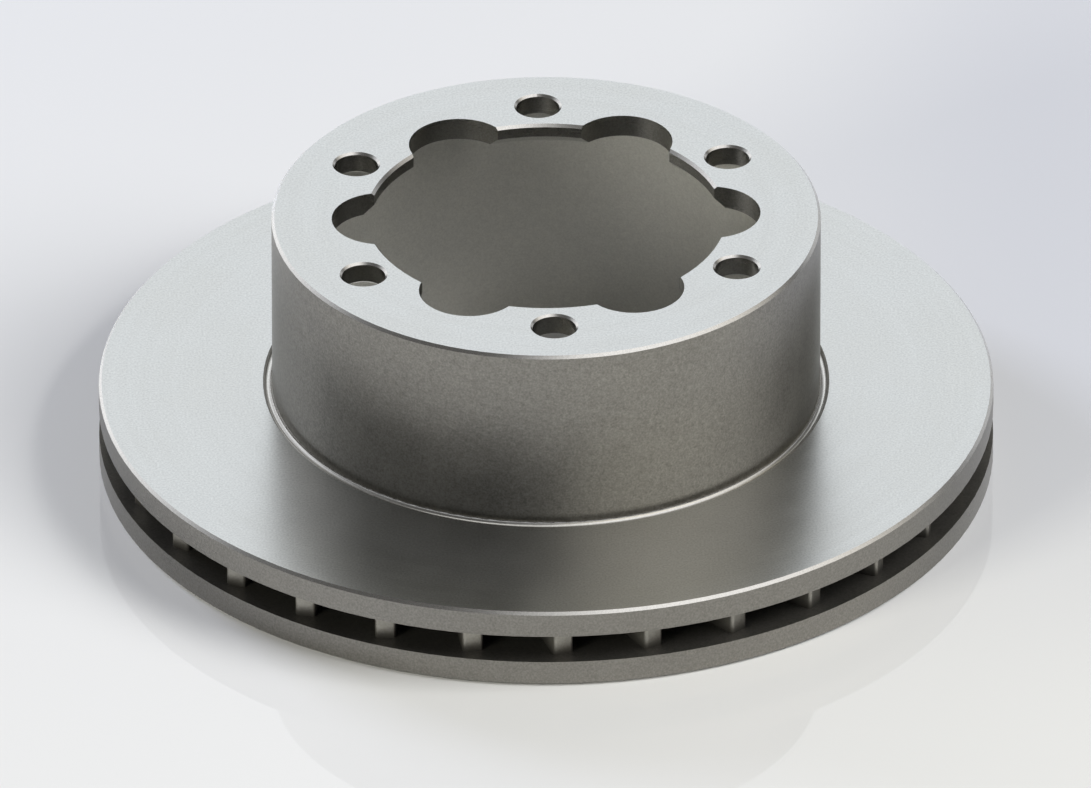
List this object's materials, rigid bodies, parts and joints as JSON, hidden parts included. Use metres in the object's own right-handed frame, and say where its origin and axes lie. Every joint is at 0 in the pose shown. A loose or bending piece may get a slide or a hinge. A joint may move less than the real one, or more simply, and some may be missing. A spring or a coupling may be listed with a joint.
{
  "type": "ventilated brake disc",
  "caption": "Ventilated brake disc cast in one piece: two friction cheeks joined by leaning vanes, and a deep hat with a lobed pilot bore and a bolt circle.",
  "frame": {"origin": "on the disc's axis, in the plane of the inboard friction face on which it stands", "axes": "+Z along the axis out of the hat, +Y through the middle of one bolt hole, +X through the middle of one scallop"},
  "size_m": [0.32, 0.32, 0.0985],
  "materials": {
    "cast_iron": "satin, turned on the friction faces, rim and hat top, as cast inside and on the hat wall"
  },
  "bodies": {
    "root": {"brake_disc": "cast_iron"}
  },
  "joints": []
}
